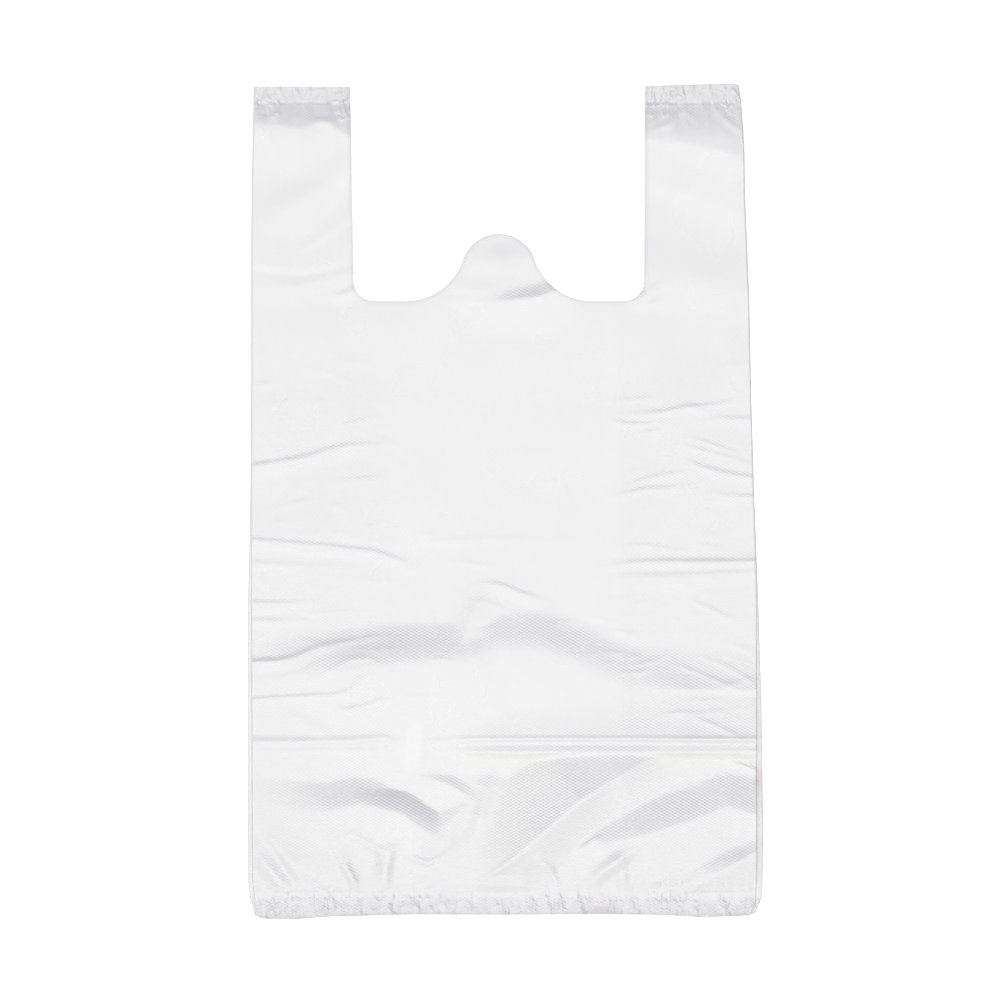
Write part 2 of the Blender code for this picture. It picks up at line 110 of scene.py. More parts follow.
# The small ones, which add to what they lie on
CREASES = (
    Fold("pleat, right", ((426, 741.5, 0.24), (470, 741, 0.46), (510, 740.5, 0.44),
        (640, 740, 0.44), (758, 740.5, 0.52)), 5, 3.5, 1, 1),
    Fold("pleat, far right", ((640, 741, 0.04), (690, 740, 0.2), (745, 740, 0.24),
        (758, 741, 0.2)), 14, 6, 1.2, 1.4),
    Fold("pleat, left", ((252, 742, 0.5), (300, 742, 0.56), (350, 741, 0.56), (385, 738, 0.5),
        (398, 743, 0.1)), 6, 4, 1, 1),
    Fold("pleat, lower left", ((276, 751, 0.06), (340, 751, 0.2), (380, 750, 0.22),
        (393, 744, 0.22), (400, 735, 0.06)), 5, 4, 1.1, 1.2),
    Fold("bright patch", ((423, 712, 0.1), (423, 735, 0.4), (420, 760, 0.4), (410, 778, 0.1)),
        7, 12, 1, 1.2),
    Fold("right of pleat", ((718, 756, 0.08), (735, 763, 0.34), (757, 771, 0.4)),
        3.6, 4, 1.1, 1.2),
    Fold("left side 1", ((248, 467, 0.5), (290, 460.5, 0.5), (312, 456, 0.46), (330, 449.5, 0.42),
        (347, 446, 0.36), (364, 445, 0.26), (384, 446, 0.06)), 5, 16, 1, 1.2),
    Fold("left side 2", ((338, 426, 0.05), (352, 423, 0.2), (366, 419, 0.12), (374, 416, 0.04)),
        3.6, 6.4, 1.1, 1.3),
    Fold("left side 3", ((330, 481, 0.04), (352, 481, 0.14), (368, 479, 0.2), (384, 477, 0.04)),
        5, 7.2, 1.2, 1.4),
    Fold("left side 4", ((250, 536, 0.4), (310, 538, 0.5), (378, 536, 0.3), (410, 540, 0.08)),
        44, 30, 1.6, 2),
    Fold("left side 5", ((248, 540, 0.4), (285, 543, 0.42), (330, 546.5, 0.44), (350, 549.5, 0.46),
        (372, 551, 0.46), (395, 559, 0.34), (414, 566, 0.08)), 4.3, 11.2, 1, 1.2),
    Fold("left side 5b", ((262, 548, 0.05), (300, 550, 0.14), (345, 553, 0.12), (372, 558, 0.04)),
        2.9, 6.4, 1.1, 1.3),
    Fold("left side 6", ((248, 563, 0.3), (272, 565, 0.28), (310, 567, 0.18), (352, 567, 0.05)),
        5.8, 7.2, 1.2, 1.4),
    Fold("left side 7", ((248, 603, 0.42), (280, 603.5, 0.34), (312, 603, 0.06)),
        4.3, 12.8, 1, 1.2),
    Fold("left side 7b", ((290, 612, 0.04), (320, 613.5, 0.16), (345, 611.5, 0.14),
        (368, 609, 0.04)), 2.5, 4.8, 1, 1.2),
    Fold("left side 8", ((248, 621, 0.3), (280, 621.5, 0.24), (312, 621, 0.05)),
        5.8, 7.2, 1.2, 1.4),
    Fold("left side 9", ((250, 662, 0.62), (276, 661, 0.6), (292, 658, 0.56), (311, 649.5, 0.4),
        (331, 643, 0.28), (352, 641, 0.06)), 4.3, 11.2, 1, 1.2),
    Fold("left side 9b", ((318, 650, 0.05), (345, 642, 0.16), (372, 637, 0.16), (392, 636, 0.06)),
        3.6, 5.6, 1.1, 1.3),
    Fold("left side 10", ((248, 699.5, 0.42), (300, 696.5, 0.38), (337, 694.5, 0.34),
        (351, 690, 0.3), (359, 679, 0.3), (366, 675, 0.05)), 3.6, 7.2, 1, 1.2),
    Fold("left side 11", ((334, 709, 0.06), (350, 709, 0.24), (366, 705.5, 0.3), (380, 700, 0.28),
        (390, 697, 0.05)), 3.6, 5.6, 1, 1.2),
    Fold("left side 12", ((284, 718, 0.05), (301, 719, 0.24), (319, 730, 0.3), (332, 739, 0.1)),
        10, 9, 1.2, 1.4),
    Fold("left side 13", ((392, 694, 0.04), (412, 697, 0.22), (440, 695, 0.05)), 5, 7.2, 1.2, 1.4),
    Fold("middle 1", ((408, 543, 0.04), (450, 540, 0.16), (510, 538, 0.14), (574, 541, 0.04)),
        3.6, 6.4, 1.2, 1.4),
    Fold("middle 3", ((452, 561, 0.05), (474, 564, 0.2), (494, 568, 0.05)), 3.6, 6.4, 1.1, 1.3),
    Fold("middle 4", ((470, 584, 0.05), (500, 585, 0.34), (522, 594, 0.36), (548, 602, 0.06)),
        5, 11.2, 1.2, 1.3),
    Fold("right side 1a", ((600, 400, 0.04), (636, 400, 0.16), (652, 398, 0.12), (666, 395, 0.04)),
        3.2, 5.6, 1.1, 1.3),
    Fold("right side 1b", ((642, 416, 0.08), (660, 413.5, 0.36), (676, 409.5, 0.42),
        (692, 408, 0.32), (704, 411.5, 0.24), (716, 412, 0.05)), 4, 6.4, 1, 1.2),
    Fold("right side 1c", ((680, 405, 0.12), (698, 406.5, 0.3), (720, 405, 0.24),
        (740, 399.5, 0.05)), 3.6, 5.6, 1, 1.2),
    Fold("right side 3", ((700, 420, 0.06), (724, 419.5, 0.26), (757, 420, 0.3)),
        5, 9.6, 1.2, 1.3),
    Fold("right side 4", ((608, 420, 0.05), (624, 424, 0.26), (646, 424.5, 0.26),
        (670, 420, 0.05)), 4, 5.6, 1.1, 1.3),
    Fold("right side 5", ((638, 432, 0.04), (648, 432.5, 0.24), (657, 431, 0.2), (667, 425, 0.04)),
        3.2, 4.8, 1, 1.2),
    Fold("right side 6a", ((688, 437, 0.04), (705, 442.5, 0.22), (720, 447.5, 0.24),
        (738, 454, 0.05)), 3.2, 5.6, 1, 1.2),
    Fold("right side 6b", ((682, 445, 0.05), (700, 450.5, 0.22), (716, 453, 0.2),
        (738, 459, 0.04)), 3.6, 5.6, 1.1, 1.3),
    Fold("right side 7", ((682, 460, 0.05), (700, 467, 0.26), (716, 472, 0.34), (735, 476, 0.36),
        (756, 479, 0.4)), 5, 7.2, 1, 1.2),
    Fold("right side 8", ((624, 487, 0.04), (645, 479.5, 0.24), (665, 475, 0.22),
        (688, 471, 0.04)), 3.6, 5.6, 1.1, 1.3),
    Fold("right side 9", ((612, 498, 0.06), (630, 493, 0.32), (646, 489, 0.34), (666, 489, 0.24),
        (692, 486, 0.05)), 4.3, 6.4, 1, 1.2),
    Fold("right side 10", ((716, 494, 0.05), (738, 497, 0.3), (756, 497.5, 0.36)),
        4.3, 6.4, 1, 1.2),
    Fold("right side 11", ((616, 548, 0.04), (635, 545, 0.2), (650, 546, 0.2), (668, 549, 0.14),
        (688, 551, 0.04)), 2.9, 4.8, 1.1, 1.3),
    Fold("right side 12", ((602, 571, 0.06), (618, 565, 0.26), (640, 563, 0.4), (665, 562.3, 0.5),
        (700, 562.5, 0.6), (757, 562, 0.62)), 5.5, 6.5, 1, 1.2),
    Fold("right side 13", ((590, 577, 0.06), (650, 577, 0.26), (700, 575, 0.26), (757, 572, 0.26)),
        5.8, 14.4, 1.3, 1.4),
    Fold("right side 14", ((686, 597, 0.04), (702, 605, 0.22), (718, 612.5, 0.24),
        (740, 623, 0.05)), 3.2, 5.6, 1, 1.2),
    Fold("right side 15", ((624, 607, 0.04), (640, 603.5, 0.15), (658, 602, 0.04)),
        2.9, 4.8, 1.1, 1.3),
    Fold("right side 16", ((622, 666, 0.04), (640, 664, 0.16), (656, 660.5, 0.12),
        (670, 653, 0.02)), 3.6, 4.8, 1, 1.2),
    Fold("right side 17", ((622, 673, 0.04), (640, 672, 0.19), (655, 668, 0.04)),
        3.6, 4.8, 1, 1.2),
    Fold("right side 18", ((672, 664, 0.03), (696, 672, 0.16), (718, 681, 0.18), (740, 690, 0.05)),
        3.6, 4.8, 1, 1.2),
    Fold("right side 18b", ((700, 656, 0.03), (722, 664, 0.16), (750, 680, 0.18)),
        3.6, 4.8, 1, 1.2),
    Fold("right side 19", ((650, 690, 0.1), (690, 690, 0.36), (758, 690.5, 0.4)), 16, 5, 1.2, 1.2),
    Fold("right side 20", ((662, 714, 0.05), (682, 712.5, 0.22), (706, 714, 0.05)),
        3.6, 5.6, 1.1, 1.3),
    Fold("right side 21", ((690, 716, 0.05), (712, 724, 0.26), (732, 733, 0.22), (742, 739, 0.05)),
        3.6, 5.6, 1.1, 1.3),
    Fold("groove", ((257, 851, 0.6), (268, 867, 1.8), (280, 883, 2.7), (293, 897, 3)),
        13, 13, 1, 1),
    Fold("groove top", ((263, 828, 0.3), (278, 848, 0.8), (293, 870, 1), (306, 894, 0.5)),
        26, 8, 1, 1.4),
    Fold("low a", ((280, 850, 0.3), (305, 870, 1.3), (328, 886, 1.6), (345, 899, 1)),
        30, 16, 1.2, 1.1),
    Fold("low b", ((329, 838, 0.2), (340, 860, 0.9), (352, 882, 1), (358, 896, 0.4)), 16, 4, 1, 1),
    Fold("low c", ((345, 862, 0.24), (353, 880, 1.3), (361, 899, 1.1)), 6, 6, 1, 1.1),
    Fold("upright wedge", ((393, 842, 0.24), (386, 866, 1.9), (382, 898, 1.8)), 9, 15, 1, 1.1),
    Fold("arc", ((404, 850, 0.14), (415, 859, 0.65), (428, 863, 0.77), (441, 858, 0.62),
        (455, 845, 0.14)), 6, 5, 1, 1.2),
    Fold("arc b", ((409, 846, 0.1), (424, 851, 0.37), (441, 845, 0.1)), 4.5, 5, 1, 1.2),
    Fold("low d", ((406, 893, 0.24), (425, 886, 1.22), (444, 872, 0.24)), 13, 10, 1.2, 1.4),
    Fold("cross", ((334, 840, 0.1), (352, 834, 0.44), (366, 842, 0.55), (384, 852, 0.47),
        (404, 838, 0.1)), 6, 7, 1, 1.2),
    Fold("low e", ((466, 891, 0.3), (490, 886, 1.39), (522, 887, 0.92), (545, 893, 0.24)),
        12, 9, 1.2, 1.3),
    Fold("low f", ((478, 884, 0.19), (500, 869, 0.85), (527, 851, 0.19)), 5, 5, 1, 1.2),
    Fold("low g", ((538, 858, 0.19), (549, 868, 0.92), (555, 881, 1.09), (557, 895, 0.3)),
        6, 5, 1, 1.2),
    Fold("low h", ((588, 890, 0.45), (601, 874, 2), (616, 862, 2), (632, 850, 0.61)),
        12, 10, 1.1, 1.3),
    Fold("low i", ((621, 858, 0.19), (624, 880, 1.22), (630, 904, 0.92)), 6, 9, 1, 1.2),
    Fold("low j", ((634, 884, 0.16), (660, 881, 0.92), (690, 884, 0.16)), 12, 10, 1.3, 1.4),
    Fold("low k", ((720, 876, 0.16), (724, 890, 0.92), (718, 903, 0.3)), 6, 6, 1, 1.2),
    Fold("low l", ((576, 852, 0.3), (584, 846, 0.92), (596, 838, 0.3)), 5, 6, 1, 1.2),
    Fold("left handle glint", ((254, 112, 0.05), (262, 108, 0.4), (268, 102, 0.1)), 4, 4, 1, 1.1),
    Fold("left handle wrinkle 1", ((262, 120, 0.05), (275, 116, 0.3), (286, 110, 0.05)),
        4, 4, 1, 1.1),
    Fold("left handle wrinkle 2", ((294, 123, 0.05), (299, 116, 0.3), (300, 110, 0.05)),
        4, 4, 1, 1.1),
    Fold("left handle wrinkle 3", ((334, 103, 0.05), (341, 111, 0.4), (347, 117, 0.3)),
        4, 4, 1, 1.1),
    Fold("left handle wrinkle 4", ((310, 124, 0.05), (318, 121, 0.4), (330, 121, 0.4),
        (338, 127, 0.05)), 5, 8, 1, 1.2),
    Fold("right handle wrinkle 1", ((652, 131, 0.1), (668, 125, 0.4), (680, 113, 0.4),
        (692, 105, 0.1)), 4, 4, 1, 1.1),
    Fold("right handle wrinkle 2", ((710, 97, 0.1), (717, 108, 0.4), (726, 120, 0.4),
        (738, 130, 0.2)), 4, 4, 1, 1.1),
    Fold("right handle wrinkle 3", ((656, 124, 0.05), (662, 117, 0.35), (668, 110, 0.05)),
        4, 4, 1, 1.1),
    Fold("right handle wrinkle 4", ((684, 110, 0.05), (690, 115, 0.3), (695, 121, 0.05)),
        4, 4, 1, 1.1),
    Fold("left handle shade", ((256, 227, 0.34), (290, 207, 0.68), (320, 189, 0.72),
        (354, 168, 0.64)), 26, 34, 1.4, 1.5),
    Fold("left handle line", ((296, 255, 0.06), (322, 240, 0.34), (354, 216, 0.36)),
        34, 4.5, 1, 1),
    Fold("left handle top", ((252, 264, 0.3), (275, 268, 0.4), (300, 270, 0.42), (330, 265, 0.34),
        (354, 257, 0.14)), 30, 5, 1, 1),
    Fold("left handle low", ((262, 286, 0.2), (300, 286, 0.45), (330, 279, 0.5), (354, 272, 0.5)),
        15, 22, 1.1, 1.3),
    Fold("left handle corner", ((326, 298, 0.08), (342, 296.5, 0.5), (358, 290, 0.75)),
        8, 9, 1, 1.2),
    Fold("right handle light", ((646, 178, 0.3), (690, 196, 0.5), (742, 214, 0.4)),
        30, 26, 1.5, 1.5),
    Fold("right handle soft", ((642, 273, 0.66), (690, 281, 0.72), (730, 286, 0.6),
        (750, 290, 0.48)), 44, 40, 1.4, 1.5),
    Fold("right handle corner", ((634, 301, 0.2), (644, 297, 0.6), (653, 288, 0.5),
        (662, 282, 0.1)), 6, 6, 1, 1.2),
    Fold("right handle corner b", ((638, 308, 0.2), (650, 304, 0.4), (666, 300, 0.06)),
        6, 7, 1, 1.2),
    Fold("tab crescent", ((462, 301, 0.1), (490, 301, 0.7), (510, 300.5, 1.1), (526, 298.5, 1.35),
        (541, 296, 1.4), (556, 290, 1.1)), 14, 44, 1, 1.4),
    Fold("tab line", ((446, 300.5, 0.1), (460, 299.5, 0.24), (474, 300.5, 0.1)), 4, 6, 1, 1.2),
    Fold("tab band", ((464, 262, 0.25), (500, 262, 0.6), (536, 256, 0.4)), 22, 26, 1.4, 1.5),
    Fold("tab band b", ((458, 288, 0.35), (486, 289, 0.5), (516, 284, 0.15)), 15, 12, 1.2, 1.4),
    Fold("tab's left upright", ((440, 302, 0.04), (440, 311, 0.16), (439, 320, 0.04)),
        4, 9, 1, 1.3),
    Fold("tab's right upright", ((540, 302, 0.04), (540, 325, 0.16), (538, 352, 0.04)),
        4, 12, 1, 1.3),
)

# The plies' outer edges: (y, x) in millimetres, from the bottom edge to the handles' tops
LEFT_BACK = (
    (-247.5, -149.0), (-243.6, -150.2), (-237.7, -152.0), (-225.8, -153.1), (-59.0, -153.1),
    (-14.6, -152.0), (30.0, -151.4), (161.0, -151.2), (190.7, -150.8), (241.3, -149.9),
    (247.5, -149.5),
)
LEFT_FRONT = (
    (-247.5, -146.5), (-240.0, -149.4), (-225.0, -150.4), (-100.0, -150.9), (-14.6, -151.0),
    (30.0, -150.8), (161.0, -150.6), (190.7, -150.3), (241.3, -149.4), (247.5, -149.0),
)
RIGHT_BACK = (
    (-247.5, 148.3), (-244.8, 149.6), (-240.1, 151.6), (-235.0, 152.7), (-193.0, 153.1),
    (-118.7, 152.0), (-59.2, 150.2), (0.3, 147.9), (59.8, 146.1), (119.3, 144.9),
    (178.8, 142.5), (211.5, 141.9), (238.3, 140.1), (247.5, 138.6),
)
RIGHT_FRONT = (
    (-247.5, 145.5), (-240.0, 148.6), (-225.0, 149.2), (-60.0, 149.2), (-32.4, 148.6),
    (0.3, 147.5), (59.8, 145.7), (119.3, 144.5), (178.8, 142.1), (211.5, 141.5),
    (238.3, 139.7), (247.5, 138.2),
)
# How far the bottom and top edges stray from straight: (x, how far up), in millimetres
BOTTOM_EDGE = (
    (-153.0, 3.2), (-150.0, 0.6), (-144.0, -1.4), (-122.0, -1.5), (-104.0, 0.2), (-86.0, 0.4),
    (-62.0, 1.2), (0.0, 1.0), (60.0, 1.3), (95.0, 0.9), (116.0, -0.4), (138.0, 0.2),
    (146.0, 1.0), (150.0, 2.4), (153.0, 5.5),
)
TOP_EDGE = (
    (-150.0, -1.0), (-92.0, -1.2), (82.0, -1.0), (110.0, 0.1), (136.0, 0.9), (141.0, -1.6),
)

# Where the film is rumpled beside the welds: (x, y, half its width, half its height)
RUMPLES = (
    (102.0, -236.0, 17.0, 12.0), (-108.0, -237.0, 18.0, 10.0), (-134.0, -239.0, 14.0, 9.0),
    (93.0, 241.0, 14.0, 12.0), (134.0, 240.0, 9.0, 11.0), (-96.0, 237.0, 7.0, 12.0),
    (-142.0, 237.0, 9.0, 7.0), (-50.0, -239.0, 40.0, 7.0), (40.0, -239.0, 35.0, 7.0),
)

# The faint stains on the film: (middle, reach, strength)
STAINS = (
    ((0.056, -0.2445), (0.016, 0.0040), 1.0),
    ((0.151, -0.165), (0.004, 0.009), 1.0),
    ((-0.06, -0.2475), (0.05, 0.0022), 0.6),
    ((0.128, -0.2470), (0.014, 0.0018), 0.6),
)
# A small upright bright patch, a painted highlight: (middle, reach), and how far it leans
HIGHLIGHT_PATCH = ((-0.0493, -0.1455), (0.0056, 0.0170))
HIGHLIGHT_LEAN = 0.04


def metres_prop(name, about, default):
    """A length."""
    return bpy.props.FloatProperty(name=name, description=about, default=default, unit="LENGTH")


def angle_prop(name, about, default):
    """An angle, given in degrees."""
    return bpy.props.FloatProperty(
        name=name, description=about, default=math.radians(default), subtype="ANGLE"
    )


def share_prop(name, about, default):
    """A share from 0 to 1."""
    return bpy.props.FloatProperty(
        name=name, description=about, default=default, min=0.0, max=1.0, subtype="FACTOR"
    )


def strength_prop(name, about, default):
    """A light's strength."""
    return bpy.props.FloatProperty(name=name, description=about, default=default, min=0.0)


def colour_prop(name, about, default):
    """A colour."""
    return bpy.props.FloatVectorProperty(
        name=name, description=about, default=default, subtype="COLOR", size=3
    )


class BagSizes(bpy.types.PropertyGroup):
    """How the bag is cut and welded, and how finely its sheet is drawn."""

    face_width: metres_prop("Face Width", "Front's width, pressed flat", 0.300)
    length: metres_prop("Length", "From bottom edge to handles' tops", 0.495)
    gusset: metres_prop("Gusset Depth", "How far each side is tucked in", 0.078)
    film: metres_prop("Film", "The film's thickness", 0.0001)
    ply_gap: metres_prop("Ply Gap", "Air between plies", 0.0003)
    weld_gap: metres_prop("Weld Gap", "Air between plies at the welds", 0.0001)
    bottom_skirt: metres_prop("Bottom Skirt", "Loose film below the bottom weld", 0.013)
    handle_skirt: metres_prop("Handle Skirt", "Loose film above the handles' welds", 0.0105)
    cut_width: metres_prop("Cut Width", "Width of the cut between the handles", 0.173)
    cut_depth: metres_prop("Cut Depth", "Depth of the cut from the handles' tops", 0.129)
    cut_corner: metres_prop("Cut Corner", "Radius of the cut's lower corners", 0.012)
    tab_height: metres_prop("Tab Height", "Tab's height above the cut's floor", 0.040)
    tab_radius: metres_prop("Tab Radius", "Radius of the tab's round top", 0.0225)
    tab_root: metres_prop("Tab Root", "Radius of the tab's hollow roots", 0.0355)
    column: metres_prop("Column", "Width of the sheet's columns on the front", 0.0018)
    row: metres_prop("Row", "Height of the sheet's rows where it is folded", 0.00095)


class FilmLook(bpy.types.PropertyGroup):
    """The film's colours and finish."""

    milk: colour_prop("Film Colour", "Milky white of the film", (0.785, 0.7855, 0.7725))
    # darker along the cut and folded edges: partly the film seen edge-on, partly painted shade
    edge: colour_prop("Edge Colour", "Film seen along its cut edges", (0.42, 0.42, 0.44))
    # the welds' own colour, also used as painted shade over the handles' skirts and beside the
    # bottom weld
    melt_and_shade: colour_prop("Weld Colour", "Film melted in the welds", (0.66, 0.66, 0.68))
    stain: colour_prop("Stain Colour", "Faint stain on the bottom skirt", (0.50, 0.38, 0.37))
    # painted highlights: on a small upright patch and along the handles' welds
    highlight_colour: colour_prop("Doubled Colour", "Film that lies on itself in a tuck", (0.93, 0.93, 0.92))
    cover: share_prop("Cover", "How much one ply hides", 0.92)
    roughness: share_prop("Roughness", "Roughness of the film's sheen", 0.25)
    mirror: bpy.props.FloatProperty(
        name="Index", description="Index of refraction that gives all plies' sheen together",
        default=2.15, min=1.0, max=3.0,
    )
    diamond_width: metres_prop("Diamond Width", "Embossed diamonds, across", 0.0032)
    diamond_height: metres_prop("Diamond Height", "Embossed diamonds, along", 0.0018)
    emboss: metres_prop("Emboss", "Depth of the embossed diamonds", 0.000042)


class StageLook(bpy.types.PropertyGroup):
    """The surface under the bag, the lamps and the camera."""

    floor_colour: colour_prop("Floor Colour", "Surface under the bag", (0.90, 0.90, 0.90))
    floor_glow: strength_prop("Floor Glow", "Light that only the camera sees in it", 0.55)
    key: strength_prop("Key", "Strength of the broad light over the bag", 0.77)
    key_colour: colour_prop("Key Colour", "Colour of the broad light", (1.0, 0.998, 0.985))
    key_breadth: angle_prop("Key Breadth", "How much of the sky the key light fills", 50)
    key_height: angle_prop("Key Height", "The key light's height above the horizon", 80)
    room: strength_prop("Room Light", "Strength of the light from all round", 1.0)
    ceiling: colour_prop("Ceiling", "The bright part of the room", (1.0, 0.998, 0.980))
    shade: colour_prop("Shade", "The dim part of the room, past the handles", (0.27, 0.262, 0.385))
    shade_edge: bpy.props.FloatVectorProperty(
        name="Shade Edge", description="Where the bright part starts and ends giving way",
        size=2, default=(0.08, 0.38),
    )
    shade_turn: angle_prop("Shade Turn", "How far the dim part lies to the handles' right", 25)
    camera_height: metres_prop("Camera Height", "Camera's height above the bag", 2.4)
    view_width: metres_prop("View Width", "Width of the view at the bag", 0.595)
    view_middle: bpy.props.FloatVectorProperty(
        name="View Middle", description="The point that the camera looks down on", size=2,
        default=(-0.0033, 0.0003), unit="LENGTH",
    )


class Number:
    """A socket that holds a number, with Python's arithmetic."""

    def __init__(self, tree, socket):
        self.tree, self.socket = tree, socket

    def _math(self, operation, *values):
        return self.tree.node("ShaderNodeMath", {"operation": operation}, dict(enumerate(values)))

    def __add__(self, other):
        return self._math("ADD", self, other)

    __radd__ = __add__

    def __sub__(self, other):
        return self._math("SUBTRACT", self, other)

    def __rsub__(self, other):
        return self._math("SUBTRACT", other, self)

    def __mul__(self, other):
        return self._math("MULTIPLY", self, other)

    __rmul__ = __mul__

    def __truediv__(self, other):
        return self._math("DIVIDE", self, other)

    def __pow__(self, other):
        return self._math("POWER", self, other)

    def cosine(self):
        return self._math("COSINE", self)

    def size(self):
        return self._math("ABSOLUTE", self)

    def clamped(self):
        return self._math("MINIMUM", self._math("MAXIMUM", self, 0.0), 1.0)


class Finish:
    """The nodes of a material, or of the room's light."""

    def __init__(self, owner):
        self.owner = owner
        owner.use_nodes = True
        self.nodes, self.links = owner.node_tree.nodes, owner.node_tree.links
        self.nodes.clear()

    def node(self, kind, settings=None, sockets=None, output=0):
        """Adds a node, sets it up, fills its sockets, and returns one of its outputs."""
        made = self.nodes.new(kind)
        for key, value in (settings or {}).items():
            setattr(made, key, value)
        for key, value in (sockets or {}).items():
            if isinstance(value, Number):
                self.links.new(value.socket, made.inputs[key])
            else:
                made.inputs[key].default_value = value
        return Number(self, made.outputs[output]) if len(made.outputs) else None

    def mask(self, name):
        """A mask painted on the sheet."""
        return self.node("ShaderNodeAttribute", {"attribute_name": name}, output="Fac")

    def place(self):
        """The sheet's x and y in the bag's own frame."""
        place = self.node("ShaderNodeTexCoord", output="Object")
        return [self.node("ShaderNodeSeparateXYZ", None, {0: place}, output=i) for i in (0, 1)]

    def noise(self, size, detail=2.0, stretch=(1.0, 1.0, 1.0)):
        """Noise from 0 to 1 whose blotches are about the given size."""
        place = self.node("ShaderNodeTexCoord", output="Object")
        place = self.node("ShaderNodeMapping", None, {"Vector": place, "Scale": stretch})
        sockets = {"Vector": place, "Scale": 1 / size, "Detail": detail}
        return self.node("ShaderNodeTexNoise", {"noise_dimensions": "3D"}, sockets)

    def blend(self, share, first, second):
        """A colour between two colours."""
        first = first if isinstance(first, Number) else (*first, 1.0)
        second = second if isinstance(second, Number) else (*second, 1.0)
        sockets = {0: share, 6: first, 7: second}
        return self.node("ShaderNodeMix", {"data_type": "RGBA"}, sockets, output=2)

    def spot(self, x, y, centre, reach, squareness=2.0):
        """A soft spot: 1 at its middle, and squarer for a higher power."""
        across = ((x - centre[0]) / reach[0]).size() ** squareness
        along = ((y - centre[1]) / reach[1]).size() ** squareness
        return (1 - (across + along)).clamped()


def smooth(share):
    """A smooth rise from 0 to 1 as share goes from 0 to 1."""
    share = np.clip(share, 0.0, 1.0)
    return share * share * (3 - 2 * share)


def along_edge(edge, y):
    """Where an edge of the bag lies at y."""
    stations = np.array(edge) * MM
    return np.interp(y, stations[:, 0], stations[:, 1])


def on_bag(fold):
    """A picked fold with its places and reaches in the bag's millimetres, to the nearest tenth."""
    across, down = ORIGIN_PIXEL
    points = tuple(
        (round((x - across) * PIXEL, 1), round((down - y) * PIXEL, 1), rise)
        for x, y, rise in fold.points
    )
    left, right = round(fold.left * PIXEL, 1), round(fold.right * PIXEL, 1)
    return fold._replace(points=points, left=left, right=right)


def fold_height(fold, x, y):
    """How far one fold, in millimetres, lifts the film at each point."""
    crest = np.array(fold.points) * MM
    margin = MM * max(fold.left, fold.right)
    low, high = crest.min(axis=0) - margin, crest.max(axis=0) + margin
    near = (x > low[0]) & (x < high[0]) & (y > low[1]) & (y < high[1])
    height = np.zeros(x.shape)
    height[near] = crest_height(fold, crest, x[near], y[near])
    return height


def crest_height(fold, crest, x, y):
    """The same for points near the fold's crest."""
    nearest = np.full(x.shape, np.inf)
    height = np.zeros(x.shape)
    for start, end in zip(crest[:-1], crest[1:]):
        run = end - start
        length = math.hypot(run[0], run[1])
        way = ((x - start[0]) * run[0] + (y - start[1]) * run[1]) / length ** 2
        share = np.clip(way, 0.0, 1.0)
        off_x = x - start[0] - share * run[0]
        off_y = y - start[1] - share * run[1]
        distance = np.hypot(off_x, off_y)
        side = (off_y * run[0] - off_x * run[1]) / length
        # beyond the fold's end one side's reach turns into the other's
        turn = side / np.maximum(distance, 1e-9)
        reach = MM * (fold.left * (1 + turn) + fold.right * (1 - turn)) / 2
        rise = start[2] + share * run[2]
        here = rise * (1 - np.minimum(distance / reach, 1.0) ** fold.crest) ** fold.foot
        closeness = distance - np.abs(side) * 1e-3
        height = np.where(closeness < nearest, here, height)
        nearest = np.minimum(nearest, closeness)
    return height


def waves(x, y, size, count, seed, slant=1.0):
    """Random waves of about the given size, mostly from -1 to 1."""
    random = np.random.default_rng(seed)
    total = np.zeros(x.shape)
    for _ in range(count):
        turn = random.uniform(-1, 1) * math.pi / 2 * slant
        pitch = size * random.uniform(0.6, 1.7)
        phase = random.uniform(0, math.tau)
        total += np.sin(math.tau * (x * math.cos(turn) + y * math.sin(turn)) / pitch + phase)
    return total / math.sqrt(count)


def stray_creases(count, seed):
    """Short faint creases in the bag's millimetres, most of them over the gussets."""
    random = np.random.default_rng(seed)
    strays = []
    for i in range(count):
        side = random.choice((-1, 1))
        x = side * random.uniform(58, 144) if i % 6 else random.uniform(-60, 60)
        y = random.uniform(-130, 95)
        half = random.uniform(5, 17)
        drop = half * random.uniform(-0.25, 0.35)
        rise = random.uniform(0.06, 0.17)
        points = ((x - half, y + drop, 0.02), (x, y + 0.4 * drop, rise), (x + half, y - drop, 0.02))
        left, right = random.uniform(1.8, 3.0), random.uniform(3.0, 6.0)
        strays.append(Fold("stray", points, left, right, 1.0, 1.2))
    return tuple(strays)


